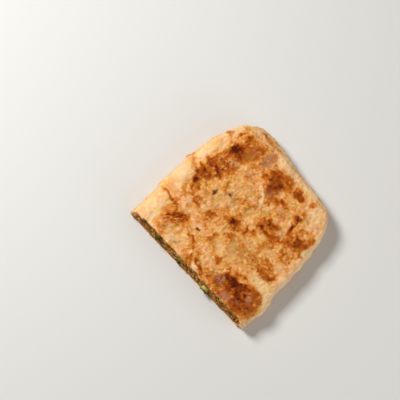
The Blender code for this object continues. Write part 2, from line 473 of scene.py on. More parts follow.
# %% Where the blisters and creases are
# Each blister: along the cut, in from it, its two radii, its turn in degrees, and its height, in mm.
BLISTERS = (
    (18, 83, 6, 6.5, 0, 0.9), (19, 94, 4, 5, 0, 0.5), (30, 98.5, 5, 3, 0, 0.5), (17, 67, 8, 6, 0, 0.6),
    (14, 54, 4.5, 4, 0, 0.7), (13, 46, 4, 4, 0, 0.5), (55, 86, 6.5, 8, 0, 0.8), (62, 96, 5, 3, 0, 0.4),
    (74.5, 93.5, 4.5, 3.5, 0, 0.7), (84.8, 81.6, 2.6, 2.6, 0, 0.9), (69, 81.6, 3.5, 2.5, 0, 0.5),
    (73.5, 63.5, 5, 3.5, 20, 0.6), (97, 68.5, 4.5, 5, 0, 0.6), (105, 62.5, 2.5, 2.2, 0, 0.5),
    (95, 54.5, 6, 5, 0, 0.5), (96, 35, 6, 4, 10, 0.7), (53.5, 44.5, 5, 4, 0, 0.7),
    (38, 36.5, 4, 3.6, 0, 0.5), (24.5, 37, 4.2, 3.4, 0, 0.5), (51.5, 24.5, 4.2, 3.6, 0, 0.5),
    (65, 18, 3, 3, 0, 0.5), (22, 15.5, 9, 5.5, 40, 0.6), (51, 6, 5, 3.6, 0, 0.4), (97, 9, 8, 6, 0, 0.9),
    (83, 14, 6, 4, 10, 0.7), (103, 19, 6, 4, -15, 0.6), (76.5, 8, 4, 4, 0, 0.8),
    (88, 3.5, 5, 2.4, 0, 0.6), (3, 43, 6, 9, 0, 1.3), (3, 75, 6, 11, 0, 1.2), (5, 10, 6, 11, 0, 1),
    (52, 101, 6, 4, 0, 0.9), (82, 100, 7, 3.5, 0, 0.7), (99, 90, 4, 6, 30, 0.7),
    (107, 50, 3, 7, 0, 0.8), (108, 33, 3, 5, 0, 0.7),
)
# Each crease: its two ends, along and in, how far it bows to the left, its width and its depth, in mm.
CREASES = (
    (57.5, 8, 67.5, -0.5, 0.6, 1, 1.2), (46, 4, 50, 15, -1.5, 0.8, -0.5),
    (72, 57.5, 92, 58.5, -2.5, 1.1, 0.3), (85, 77, 87, 66, 0.8, 0.8, 0.6),
    (7, 64.5, 27, 62, -1.5, 0.8, 0.5), (1, 27, 15, 23.5, 0.8, 1.1, 0.9),
    (0, 31, 14, 28.5, -0.6, 1.2, 0.5), (2, 56, 13, 48, 1, 1.1, 0.9), (-3, 62, 9, 52, -0.8, 1.2, 0.7),
    (-1, 52, 8, 62, 0.8, 1.2, 0.6), (28, 28, 42, 19, 1, 1, -0.6), (36, 40, 47, 53, -1, 1, 0.4),
    (64.5, 51, 65.5, 44, 0.6, 0.9, 0.6), (88.5, 38.5, 92, 31, 0.6, 0.9, 0.6),
    (100, 44, 111, 46, 0.5, 1, 0.5), (101, 56, 111, 57, -0.5, 1, 0.5), (50, 77, 60, 66, 2, 1, -0.5),
    (14, 96, 15, 76, -2, 1, 0.4), (12, 12, 16, 36, -1.2, 1.1, 0.4), (36, 22, 47, 13, 1, 0.8, -0.3),
    (66, 5, 84, 3, 1, 0.8, 0.4), (96, 28, 108, 30, -1, 0.9, 0.4),
)
# Each field of fine parallel wrinkles: along, in, two radii, turn, the way they run (0 is along the cut and
# 90 is in from it), their spacing and their height in mm.
WRINKLE_FIELDS = (
    (16, 70, 9, 8, 0, 90, 2.5, 0.6), (24, 94, 9, 6, 0, 75, 2.2, 0.45),
    (22, 17, 10, 6, 45, 48, 2.6, 0.6), (47, 9, 4, 7, -10, 62, 3, 0.55),
    (52, 73, 6, 9, -40, 130, 3.2, 0.6), (96, 54, 6, 5, 0, 140, 2.6, 0.55),
    (88, 36, 6, 6, 0, 130, 2.6, 0.5), (90, 15, 12, 5, 8, 70, 2.2, 0.24),
    (45, 101, 5, 4, 0, 92, 2.4, 0.32), (63, 38, 6, 6, 0, 130, 2.4, 0.24),
    (72, 44, 8, 8, 0, 50, 2.8, 0.24), (92, 66, 9, 5, 25, 30, 2.4, 0.26),
    (40, 88, 5, 8, 0, 100, 2.6, 0.24), (34, 62, 8, 8, 0, 40, 3, 0.22), (5, 74, 6, 12, 0, 70, 3.4, 0.16),
    (4, 42, 5, 12, 0, 95, 3, 0.16), (8, 12, 6, 12, 0, 88, 2.8, 0.2),
)


def wrinkle_waves(along, inward, points):
    """Waves from -1 to 1 across each field of wrinkles, and the share of each field at each point."""
    bend = 1.1 * rough(points, 5 * MM, 81.0) + 0.45 * rough(points, 2 * MM, 82.0)
    broken = fade(rough(points, 3.5 * MM, 83.0), -0.35, 0.25)
    waves = []
    for *_, run, spacing, height in WRINKLE_FIELDS:
        angle = math.radians(run)
        turns = (along * math.sin(angle) - inward * math.cos(angle)) / spacing + bend
        waves.append((0.6 * np.sin(math.tau * turns) + 0.4 * np.sin(math.tau * 0.53 * turns)) * broken)
    return np.array(waves), spots(along, inward, WRINKLE_FIELDS)


def crease_depth(along, inward):
    """How deep the creases go at each point, in mm: a ridge counts as less than nothing."""
    depth_there = np.zeros(len(along))
    for from_along, from_in, to_along, to_in, bow, width, depth_mm in CREASES:
        run = np.array((to_along - from_along, to_in - from_in))
        length = np.hypot(*run)
        run = run / length
        t = np.clip(((along - from_along) * run[0] + (inward - from_in) * run[1]) / length, 0.0, 1.0)
        bend = bow * np.sin(math.pi * t)
        middle_along = from_along + run[0] * length * t - run[1] * bend
        middle_in = from_in + run[1] * length * t + run[0] * bend
        away = np.hypot(along - middle_along, inward - middle_in)
        ends = fade(t, 0.0, 0.2) * (1.0 - fade(t, 0.8, 1.0)) * 0.7 + 0.3
        depth_there += depth_mm * hump(away, 0.0, width) * ends
    return depth_there


# %% Raise the relief
# Heights and depths are in mm. Where the pale folded edges lie, along and in, is in mm too.
LUMP, SMALL_LUMP, BUBBLE, PIMPLE, GRAIN = 0.70, 0.78, 0.80, 0.42, 0.25
WRINKLE, CRACK, RIM_CALM = 0.40, 0.45, 0.75
LIP, LIP_IN, LIP_WIDTH = 0.9, 1.5, 2.2
PLEAT, DIMPLE, SIDE_GRAIN = 0.75, 0.60, 0.30
LAP_HEIGHT, LAP_WANDER, LAP_WIDTH = 7.5 * MM, 3.0 * MM, 0.5 * MM
LAP_DEPTH = 0.6
CUT_PORE, CUT_RAGGED, CUT_RAGGED_FINE = 0.22, 0.6, 0.4
UNDERCUT = 1.7 * MM
FOLD_LINES = (1.9, 3.7, 5.4)
FOLD_LINE_WIDTH, FOLD_LINE_DEPTH = 0.55, 1.3
LEFT_BAND, LEFT_WIDER_AT_CUT, LEFT_DIP = 11.0, 4.0, 2.5
RIGHT_EDGE, RIGHT_BULGE, RIGHT_TAPER = 110.0, 6.5, 0.0022
FAR_EDGE, FAR_SLOPE = 109.5, 0.075


def right_rim(inward):
    """How far along the cut the right folded edge lies, in mm, at a distance in from the cut."""
    taper = RIGHT_TAPER * np.clip(inward - 45.0, 0.0, 99.0) ** 2
    return RIGHT_EDGE + RIGHT_BULGE * hump(inward, 8.0, 15.0) - taper


def rim_share(points, along, inward):
    """1 on the pale folded edge, 0 on the part of the top that lay flat on the pan."""
    wander = 2.2 * rough(points, 9 * MM, 3.0) + 1.0 * rough(points, 3.5 * MM, 4.0)
    left_band = LEFT_BAND + LEFT_WIDER_AT_CUT * (1.0 - fade(inward, 4.0, 34.0))
    left_band -= LEFT_DIP * hump(inward, 58.0, 10.0)
    from_left = 1.0 - fade(along + wander, left_band - 2.0, left_band + 1.6)
    from_right = fade(along + wander, right_rim(inward) - 5.0, right_rim(inward) - 2.0)
    far_side = FAR_EDGE - FAR_SLOPE * (along - 30.0)
    from_far = fade(inward + wander, far_side - 8.0, far_side - 4.0)
    return np.maximum(np.maximum(from_left, from_right), from_far)


places = points_of(crust)
directions = normals_of(crust)
outside = np.empty(len(places), dtype=np.float32)
crust.data.attributes["outside"].data.foreach_get("value", outside)
along, inward = pie_place(places)
off_knife = (places - np.array(KNIFE_POINT)) @ np.array(KNIFE_NORMAL)
on_rim = (off_knife > -0.15 * MM) & (outside < 0.5)
skin = outside > 0.5
upward = fade(directions[:, 2], -0.1, 0.6) * skin
on_top = upward * fade(places[:, 2], 9 * MM, 15 * MM)
on_side = skin * (1.0 - on_top) * fade(directions[:, 2], -0.7, -0.2)
folded = np.maximum(rim_share(places, along, inward), 1.0 - on_top)
calm = 1.0 - (1.0 - RIM_CALM) * folded

# Lumps of meat under the crust, and bubbles in it.
relief = LUMP * rough(places, 9 * MM) * skin
relief += SMALL_LUMP * rough(places, 4 * MM, 7.0) * skin * calm
patchy = fade(rough(places, 14 * MM, 9.0), -0.35, 0.15)
large_bubbles = bubbles(places, 3.6 * MM) * calm * (0.4 + 0.6 * patchy) * on_top
small_bubbles = bubbles(places, 1.9 * MM, 5.0) * calm * on_top
relief += BUBBLE * (large_bubbles - 0.2) * on_top + PIMPLE * (small_bubbles - 0.25) * on_top
relief += GRAIN * rough(places, 1.1 * MM, 11.0) * skin * fade(directions[:, 2], -0.6, -0.1)

# Pleats, dimples and the line of the lap on the sides.
pleats = rough(places * np.array((1.0, 1.0, 0.3)), 6 * MM, 18.0)
dimples = bubbles(places, 5.5 * MM, 19.0) - 0.3
relief += (PLEAT * pleats + DIMPLE * dimples + SIDE_GRAIN * rough(places, 1.8 * MM, 20.0)) * on_side
lap_wander = LAP_WANDER * rough(places * np.array((1.0, 1.0, 0.2)), 18 * MM, 64.0)
lap = hump(places[:, 2] - LAP_HEIGHT - lap_wander, 0.0, LAP_WIDTH)
lap = lap * on_side * fade(rough(places, 15 * MM, 65.0), -0.20, 0.15)
relief -= LAP_DEPTH * lap

# Wrinkles, cracks, the lip, and the blisters, creases and wrinkle fields of the tables.
wrinkled = fade(rough(places, 16 * MM, 13.0), -0.25, 0.20) * on_top
wrinkles = ridges(places, 11 * MM, 1.5 * MM, 15.0) * wrinkled * (1.0 - 0.6 * folded)
cracks = ridges(places, 15 * MM, 1.2 * MM, 17.0) * (1.0 - wrinkled) * on_top * (1.0 - 0.6 * folded)
relief += WRINKLE * wrinkles - CRACK * cracks
lip = hump(along - right_rim(inward) + LIP_IN, 0.0, LIP_WIDTH) * upward
relief += LIP * lip * (0.6 + rough(places, 7 * MM, 24.0))
blister_heights = np.array([place[-1] for place in BLISTERS])
relief += (spots(along, inward, BLISTERS) * blister_heights[:, None]).max(axis=0) * on_top
creased = crease_depth(along, inward) * on_top
waves, wave_shares = wrinkle_waves(along, inward, places)
wave_heights = np.array([field[-1] for field in WRINKLE_FIELDS])
waves = (waves * wave_shares * wave_heights[:, None]).sum(axis=0) * on_top
relief += waves - creased
relief -= relief[on_top > 0.5].mean() * on_top
relief *= fade(places[:, 2], 0.2 * MM, 2.0 * MM)
places += directions * (relief * MM)[:, None]
print("relief from", round(relief.min(), 2), "to", round(relief.max(), 2), "mm")

# %% [markdown]
# The cut edge of the dough gets its own relief. At both ends, thin lines run round it a few millimetres
# inside the skin, where the turns of the folded sheet meet. So each point there is measured against the
# nearest point of the outline. Over the top meat layer the edge is cut back a little, and all of it is
# ragged and full of pores.

# %% Cut edge
outline = places[(off_knife > -0.15 * MM) & (outside > 0.99)]
rim_tree = KDTree(len(outline))
for i, place in enumerate(outline):
    rim_tree.insert(place, i)
rim_tree.balance()
in_from_skin = np.zeros(len(places))
for i in np.nonzero(on_rim)[0]:
    in_from_skin[i] = rim_tree.find(places[i])[2] / MM
at_ends = fade(np.abs(places[:, 0]), half_width - 16 * MM, half_width - 9 * MM) * on_rim
line_wander = 0.5 * rough(places, 5 * MM, 12.0)
fold_lines = at_ends * sum(
    hump(in_from_skin - line + line_wander, 0.0, FOLD_LINE_WIDTH) for line in FOLD_LINES
)
places -= np.array(KNIFE_NORMAL) * (FOLD_LINE_DEPTH * MM * fold_lines)[:, None]
top_edge = on_rim * fade(places[:, 2], 11 * MM, 14 * MM) * fade(in_from_skin, 0.0, 0.8 * CRUST / MM)
places[:, 1] += UNDERCUT * top_edge
pores = CUT_PORE * (rough(places, 1.6 * MM, 2.0) + 0.7 * rough(places, 0.8 * MM, 6.0)) * on_rim
ragged = CUT_RAGGED * rough(places, 4.5 * MM, 8.0) + CUT_RAGGED_FINE * rough(places, 1.8 * MM, 10.0)
ragged *= fade(off_knife, -1.5 * MM, 0.0)
places += np.array(KNIFE_NORMAL) * ((pores + ragged) * MM)[:, None]
places[:, 2] = np.maximum(places[:, 2], 0.0)
set_points(crust, places)
print("cut edge:", int(on_rim.sum()), "points")

# %% [markdown]
# ## Browning
#
# How brown the crust is at a point follows from how long it touched the pan: the blisters and the area
# round them are brown, the folded edges stay pale cream, and the rest is golden with finer mottling. The
# patches are set as ovals with a level from 0, raw cream, to 1, nearly burnt, and noise moves
# their edges about. More ovals say where scallion and meat show through the crust, where the dough is thin
# and where flour dried on it. Each of these goes to the material as one number for each point.
# Part of this number is painted light and shade, not browning: the tops of bubbles and wrinkles are paler as
# painted highlights, creases and cracks darker as painted shade, the right edge paler as painted light, and
# two ovals paint shade on the far edge and one a highlight on a dark blister.

# %% Browned and pale patches
# Broad zones where the whole crust is browner: along, in, two radii, turn, level.
BROWN_ZONES = (
    (18, 84, 13, 18, 0, 0.62), (16, 60, 12, 16, 0, 0.7), (57, 88, 13, 12, 0, 0.62),
    (86, 63, 18, 8, 12, 0.62), (103.5, 74, 3.6, 9, 0, 0.56), (95, 10, 19, 14, 0, 0.7),
    (23, 17, 9, 6, 45, 0.62), (94, 38, 12, 9, 0, 0.6), (57, 41, 10, 6, -30, 0.59),
    (50, 12, 14, 12, 0, 0.54), (62, 4, 14, 7, 0, 0.58), (72, 60, 14, 8, 0, 0.58),
)
# Each patch: along the cut, in from it, its two radii in mm, its turn in degrees, and its level.
PATCHES = (
    (47, 75, 4, 7, 30, 0.38), (55, 76.5, 4.2, 4.4, 0, 0.7), (43, 77.5, 3, 3, 0, 0.56),
    (60, 60, 5, 6, 0, 0.34), (50.5, 61.5, 4.2, 3.8, 0, 0.68), (44, 66, 4.6, 4.2, 0, 0.26),
    (34.5, 65, 4, 4.4, 0, 0.34), (25, 55, 3.6, 3.6, 0, 0.4), (65, 54.5, 3.4, 3, 0, 0.38),
    (14.5, 38, 4, 6, 0, 0.6), (56.5, 64.5, 3.5, 3.5, 0, 0.56), (33, 47, 7, 6, 0, 0.32),
    (45, 35, 4, 5, 0, 0.36), (61, 55, 5, 3, 0, 0.32), (106.5, 36, 2.6, 6, 0, 0.2),
    (107, 54, 3.6, 6, 0, 0.14), (100, 46, 6, 3.5, 0, 0.28), (98, 28, 11, 4.5, 0, 0.14),
    (82, 27, 8, 4, 0, 0.42), (70, 27, 7, 5, 0, 0.44), (76, 35.5, 6, 4, 0, 0.62),
    (85, 33.5, 3.4, 3.8, 0, 0.66), (42, 42.5, 4, 3, 0, 0.42), (41.5, 30.5, 2.6, 2.6, 0, 0.42),
    (38, 8, 7, 5, 0, 0.28), (33, 4.5, 4, 3.5, 0, 0.18), (60, 12, 4, 5, 0, 0.34),
    (41, 17.5, 5, 2.2, -20, 0.4), (27, 9, 4, 5, 0, 0.32), (73.5, 16, 4, 3.6, 0, 0.34),
    (38, 24, 5, 2.5, 0, 0.26), (58, 26, 4.5, 4, 0, 0.26), (80, 71, 3.5, 4.5, 0, 0.28),
    (78, 88, 4, 2.5, 0, 0.34), (63, 84, 3.5, 3.5, 0, 0.34), (51.5, 101.5, 7, 4.5, 0, 0.06),
    (66, 100.5, 5, 2.8, 0, 0.14), (79, 100.5, 7, 3, 0, 0.12), (93, 93, 8, 7, 0, 0.2),
    (97, 85, 5, 4, 0, 0.3), (57.5, 70, 1.3, 7, 42, 0.14), (52.5, 76, 1.3, 6, 42, 0.12),
    (57, 3, 6.5, 2.2, -38, 0.1), (24, 96, 8, 4, 0, 0.58), (30, 92, 5.5, 7, 0, 0.74),
    (40, 96, 3, 7, 0, 0.67), (27, 86, 4, 4, 0, 0.74), (25, 81, 4, 3.5, 0, 0.72),
    (16, 75.5, 5, 3.8, 0, 0.72), (19.5, 93, 2.4, 5.5, 0, 0.8), (18.8, 82.2, 6, 5.2, 0, 0.78),
    (18, 82.4, 3.4, 3.6, 0, 1), (11.5, 84, 2.8, 4.4, 0, 0.36), (18.5, 69, 9.5, 7.5, 0, 0.67),
    (17, 63.2, 9.5, 1.5, -8, 0.84), (25.5, 64, 4, 3.4, 10, 0.66), (13.5, 56, 5.5, 5, 0, 0.76),
    (3, 66.5, 5, 5.5, 0, -0.04), (16.5, 24, 4.5, 3.6, 20, 0.64), (13.5, 46.5, 4.5, 4.5, 0, 0.76),
    (13, 46.5, 1.8, 2.2, 0, 0.9), (10.5, 57.5, 3.5, 0.9, -10, 0.9), (6, 89.2, 3.6, 2.8, 0, 0.78),
    (54.5, 88.5, 7.5, 8.5, -15, 0.76), (56.5, 83.5, 4.2, 4.5, 0, 0.78), (51, 92, 4, 2.8, 0, 0.8),
    (62, 96.2, 5, 3, 0, 0.68), (74.4, 93.5, 4.5, 3, 0, 0.9), (75, 74.5, 4.5, 3.6, 0, 0.56),
    (85.3, 95.3, 2, 2.3, 0, 0.66), (69.5, 81.2, 3.2, 1.6, -30, 0.88), (67, 95, 1.6, 4.5, 0, 0.26),
    # The pale oval at 85, 84 on the dark blister is a painted highlight.
    (84.4, 80.8, 2.4, 2, 0, 0.92), (85, 84, 1.3, 1.2, 0, 0.1), (86.2, 72.5, 1.3, 5, 5, 0.9),
    (96, 76, 5, 3, 0, 0.44), (93.2, 76.2, 2.2, 2.2, 0, 0.7), (103, 77, 2.2, 3.8, 0, 0.7),
    (61.6, 73.5, 1.3, 1.1, 0, 0.8), (92, 64, 7, 4, 20, 0.7), (84.5, 64.5, 3.5, 3.5, 0, 0.4),
    (73.5, 63, 5.2, 3.6, 20, 0.8), (79, 66.5, 4, 2.2, 0, 0.7), (86.2, 60, 7, 1.8, 12, 0.77),
    (80, 56.8, 7.5, 1.1, 4, 0.8), (97.5, 68.5, 4.5, 4.5, 0, 0.85), (105, 62.5, 2.4, 2, 0, 0.8),
    (95, 54.5, 6, 5, 0, 0.54), (96.5, 53.5, 1.2, 3.2, 40, 0.74), (93.5, 55.5, 0.9, 2.4, 40, 0.7),
    (87, 36, 4, 5, 0, 0.56), (84, 53, 5, 3, 0, 0.66), (87.5, 35, 1, 4.5, 35, 0.7),
    (92.5, 40, 6, 3, 0, 0.58), (96.2, 34.5, 5.5, 3.4, 10, 0.74), (53.5, 44.4, 6, 4, 10, 0.7),
    (54.5, 44.4, 3.2, 2.6, 0, 0.87), (64.5, 47.5, 1, 2.6, 30, 0.74), (61, 37, 5, 3.2, -45, 0.62),
    (69, 49.5, 3.2, 2.8, 0, 0.72), (38.5, 36.5, 3.6, 3.6, 0, 0.8), (25, 37.1, 4, 3.2, 0, 0.68),
    (51.6, 24.5, 3.6, 3, 0, 0.64), (65.3, 18, 3.2, 3, 0, 0.76), (42.5, 16.2, 1.8, 2.2, 0, 0.72),
    (31, 21, 4, 4, 0, 0.54), (23, 17.5, 9, 5.2, 44, 0.69), (25, 20, 6, 2, 44, 0.83),
    (17, 9, 2, 5, -10, 0.54), (50.7, 5.2, 4, 3.4, 0, 0.7), (95, 9.5, 17, 9, 0, 0.79),
    (101.6, 19.5, 8, 3.2, -12, 0.73), (79.5, 14.4, 4, 2.4, 12, 0.88), (86, 14.8, 6.4, 3.5, 12, 1),
    (92.5, 17.5, 5.5, 2.4, 12, 0.94), (84, 9.5, 2.6, 3, 0, 0.88), (95, 9.5, 3.5, 2.2, 0, 0.9),
    (101, 6.5, 4.5, 2.4, 0, 0.84), (105.5, 6, 6, 6, 0, 0.72), (76, 9.2, 4, 4, 0, 0.8),
    (88, 3.6, 5, 2.2, 0, 0.82), (98, 3, 6, 2.6, 0, 0.79), (101, 14.5, 1.2, 4, 35, 0.66),
    (73, 2.6, 6, 2, 0, 0.56), (3.5, 25.5, 4, 1.2, 0, 0.56), (10, 24, 4.5, 1.1, -10, 0.62),
    (5.5, 30, 8, 3.5, 0, 0.34), (3, 73, 6, 7, 0, 0.06), (5.5, 52.5, 5, 0.9, -28, 0.46),
    (3, 58, 5, 0.9, 40, 0.34), (3, 43, 5, 7, 0, -0.04), (1, 85, 2.6, 3.6, 0, -0.02),
    # The two ovals along the far edge, at 31, 106.6 and 58, 105.6, are partly real browning and partly
    # painted shade where the edge rolls down away from the light.
    (5.5, 10, 6, 9, 0, 0.02), (31, 106.6, 14, 2.8, -2, 0.7), (58, 105.6, 9, 1.1, -2, 0.56),
)
# Where scallion lies close under the crust: along, in, two radii, turn.
SCALLION_UNDER_CRUST = (
    (38.5, 57, 2, 1.7, 0), (29.6, 50.4, 1.6, 1.8, 20), (40.3, 23, 1.8, 1.3, 0),
)
# Where the thin crust lets the grey of the meat through: along, in, two radii, turn, strength.
MEAT_UNDER_CRUST = (
    (47, 62, 15, 11, 20, 1), (75, 36, 14, 9, 20, 1), (31, 44, 9, 9, 0, 1), (27, 86, 3.5, 3.5, 0, 0.8),
    (39.5, 94.5, 4, 6.5, 0, 0.9), (34, 5, 6, 4, 0, 0.8), (64, 68, 5, 4, 0, 0.7), (58, 25, 5, 4, 0, 0.6),
    (70, 10, 7, 6, 0, 0.5),
)
# Where a blister left the dough so thin and oily that it is pinkish and half clear: the same numbers.
THIN_DOUGH = (
    (40, 95.5, 4, 7, 0, 1), (30, 92, 4, 4, 0, 0.3), (26, 103, 9, 1.8, 0, 0.7),
    (24.5, 76, 4, 2.6, 0, 0.9), (66, 99.5, 5, 3, 0, 0.35), (74.5, 76, 4.5, 2.6, 0, 0.9),
    (84, 64.5, 3.5, 3.5, 0, 0.9), (91.5, 87.5, 5, 2.6, 0, 0.4), (105.5, 69, 2.6, 4, 0, 0.4),
    (21, 32, 3.6, 3.2, 0, 0.6), (26.5, 26.5, 2, 2, 0, 0.9), (24, 7, 3.2, 4.5, 0, 0.6),
    (31, 4, 2.4, 2, 0, 0.5), (76.8, 9.2, 3.4, 3.8, 0, 1), (88, 3.6, 6, 2.6, 0, 1),
    (96.5, 6.8, 3.2, 1.8, 0, 0.4), (101, 14.5, 1.6, 4.5, 35, 0.8), (53.5, 37, 3, 3, 0, 0.6),
    (58, 78, 3, 4, 0, 0.5), (86, 50, 4, 3, 0, 0.5), (37, 78, 4, 3, 0, 0.6),
)
# Where flour dried chalky and pale on the dough: the same numbers.
FLOURY = (
    (3, 43, 5, 8, 0, 0.5), (1, 85, 3, 4, 0, 0.7), (51.5, 101.5, 8, 5, 0, 1),
    (57.5, 70, 1.6, 7, 42, 0.8), (52.5, 76, 1.6, 6, 42, 0.8), (96, 92, 8, 9, 0, 0.8),
    (99, 28, 11, 5, 0, 0.7), (101, 46, 5, 3, 0, 0.5), (40, 52, 6, 8, 0, 0.35), (70, 27, 10, 6, 0, 0.3),
    (60, 12, 4, 5, 0, 0.5), (57, 3, 6.5, 2.2, -38, 0.6), (30.5, 4.5, 4, 3, 0, 0.7),
)

# %% Give each point its browning
GOLDEN, FRECKLE, FLECK = 0.50, 0.12, 0.20
HALO_FROM, HALO_REACH, HALO_LEVEL, HALO_SHARE = 0.7, 1.75, 0.64, 0.75
BROAD_MOTTLE, SMALL_MOTTLE = 0.22, 0.30
EDGE_WARP = 1.6
# Painted light and shade in the browning number: bubble tops, pimple tops, wrinkles and wave crests are made
# paler as painted highlights, and cracks, creases and wave troughs darker as painted shade.
BUBBLE_TOP_HIGHLIGHT, PIMPLE_TOP_HIGHLIGHT, WRINKLE_HIGHLIGHT, CRACK_SHADE = 0.16, 0.10, 0.20, 0.18
CREASE_SHADE, WAVE_HIGHLIGHT_AND_SHADE, DARK_HEIGHTS = 0.30, 0.38, 0.08
RIM_BROWN, RIM_CLOUDS, RIM_STREAKS, RIGHT_PAINTED_LIGHT = 0.08, 0.26, 0.12, 0.16
UNDER_BROWN, UNDER_CLOUDS, UNDER_MOTTLE = 0.55, 0.45, 0.25
FOOT_BROWN, FOOT_HEIGHT = 0.50, 6.0 * MM
SIDE_TOAST, SIDE_DIMPLES, SIDE_MOTTLE, LAP_BROWN, SIDE_FLOUR = 0.34, 0.10, 0.10, 0.30, 0.75


def toned(values, goal, share):
    """Moves values towards a goal by a share from 0 to 1."""
    return values * (1.0 - share) + goal * share


# Noise moves the ovals' edges about, by up to the warp in mm for each size of lump.
warped_along = along + EDGE_WARP * rough(places, 8 * MM, 21.0) + EDGE_WARP * rough(places, 3.2 * MM, 22.0)
warped_in = inward + EDGE_WARP * rough(places, 8 * MM, 31.0) + EDGE_WARP * rough(places, 3.2 * MM, 32.0)
brown_light_and_shade = np.full(len(places), GOLDEN)
for share, zone in zip(spots(warped_along, warped_in, BROWN_ZONES), BROWN_ZONES):
    brown_light_and_shade = toned(brown_light_and_shade, np.maximum(brown_light_and_shade, zone[-1]), share)
halos = [
    (centre_along, centre_in, reach_along * HALO_REACH, reach_in * HALO_REACH, turned)
    for centre_along, centre_in, reach_along, reach_in, turned, level in PATCHES if level > HALO_FROM
]
halo = HALO_SHARE * spots(warped_along, warped_in, halos).max(axis=0)
brown_light_and_shade = toned(brown_light_and_shade, np.maximum(brown_light_and_shade, HALO_LEVEL), halo)
brown_light_and_shade += BROAD_MOTTLE * rough(places, 9 * MM, 41.0) + SMALL_MOTTLE * rough(places, 4.2 * MM, 42.0)
# Painted highlights on the tops of bubbles and pimples and on wrinkles, and painted shade in the cracks.
brown_light_and_shade -= BUBBLE_TOP_HIGHLIGHT * large_bubbles + PIMPLE_TOP_HIGHLIGHT * small_bubbles
brown_light_and_shade += CRACK_SHADE * cracks - WRINKLE_HIGHLIGHT * wrinkles
streaks = rough(places * np.array((1.0, 0.35, 1.0)), 3.5 * MM, 43.0)
rim_tone_and_right_light = RIM_BROWN + RIM_CLOUDS * np.abs(rough(places, 8 * MM, 47.0)) + RIM_STREAKS * streaks
# The right edge is made paler as painted light, to lift the side that turns away from the window.
rim_tone_and_right_light -= RIGHT_PAINTED_LIGHT * fade(along, 90.0, 104.0)
brown_light_and_shade = toned(brown_light_and_shade, rim_tone_and_right_light, folded)
uneven = np.clip(0.9 + 0.5 * rough(places, 4 * MM, 46.0), 0.0, 1.0)
for share, patch in zip(spots(warped_along, warped_in, PATCHES), PATCHES):
    brown_light_and_shade = toned(brown_light_and_shade, patch[-1], share * upward * uneven)
freckles = fade(rough(places, 2.2 * MM, 44.0), 0.10, 0.45)
flecks = fade(rough(places, 1.9 * MM, 45.0), 0.12, 0.45) * (1.0 - fade(brown_light_and_shade, 0.6, 0.8))
brown_light_and_shade += (FRECKLE * freckles - FLECK * flecks) * on_top * (1.0 - 0.8 * folded)

# %% Brown the underside, the foot and the sides
# The underside lay on the pan too, and the foot of the folded edge browned a little with it.
underneath = fade(-directions[:, 2], 0.3, 0.9) * skin
under_brown = UNDER_BROWN + UNDER_CLOUDS * rough(places, 12 * MM, 51.0)
under_brown += UNDER_MOTTLE * rough(places, 4 * MM, 52.0)
brown_light_and_shade = toned(brown_light_and_shade, np.clip(under_brown, 0.15, 0.95), underneath)
foot = (1.0 - fade(places[:, 2], 0.5 * MM, FOOT_HEIGHT)) * skin * (1.0 - underneath)
brown_light_and_shade += FOOT_BROWN * foot * np.clip(0.5 + rough(places, 6 * MM, 53.0), 0.0, 1.0)
toasted = fade(rough(places * np.array((1.0, 1.0, 1.6)), 9 * MM, 56.0), 0.0, 0.45)
side_mottle = SIDE_MOTTLE * rough(places, 2.5 * MM, 57.0)
brown_light_and_shade += on_side * (SIDE_TOAST * toasted - SIDE_DIMPLES * dimples + side_mottle) + LAP_BROWN * lap
brown_light_and_shade += DARK_HEIGHTS * np.clip(relief, -1.0, 1.2) * on_top
# Painted shade in the creases, and paler on the ridges that count as negative creases; painted highlights on
# the wave crests and painted shade in their troughs.
brown_light_and_shade += CREASE_SHADE * creased - WAVE_HIGHLIGHT_AND_SHADE * waves

# %% Juice and crumb on the cut edge
# The cut edge is pale crumb where it is dry, and brown where the meat's juice stained it. At its foot it is
# made greyer and less pale as painted shade, where it meets the floor.
CUT_BROWN, CUT_JUICE, CUT_LINES, CUT_ENDS = 0.30, 0.34, 0.55, 0.12
stained = fade(rough(places, 3 * MM, 54.0), -0.3, 0.4) * fade(in_from_skin, 0.3, 1.6)
# Painted shade at the foot of the cut edge.
painted_shade_at_foot = 1.0 - fade(places[:, 2], 1.5 * MM, 3.0 * MM)
stained = np.where(on_rim, stained * (1.0 - 0.5 * at_ends), 1.0)
crumb_and_foot_shade = np.clip(0.85 - 0.6 * stained - 0.8 * fold_lines - 0.1 * painted_shade_at_foot - 0.25 * at_ends, 0.0, 1.0)
crumb_and_foot_shade = np.where(skin, 0.0, crumb_and_foot_shade)
cut_brown = CUT_BROWN + CUT_JUICE * stained + CUT_LINES * fold_lines + CUT_ENDS * at_ends
brown_light_and_shade = np.where(skin, np.clip(brown_light_and_shade, -0.1, 1.1), cut_brown)


# %% What shows through the crust and lies on it
def strongest(places_given):
    """The strength, given as the last number of each oval, of whichever oval counts most at each point."""
    strengths = np.array([place[-1] for place in places_given])
    return (spots(warped_along, warped_in, places_given) * strengths[:, None]).max(axis=0) * on_top


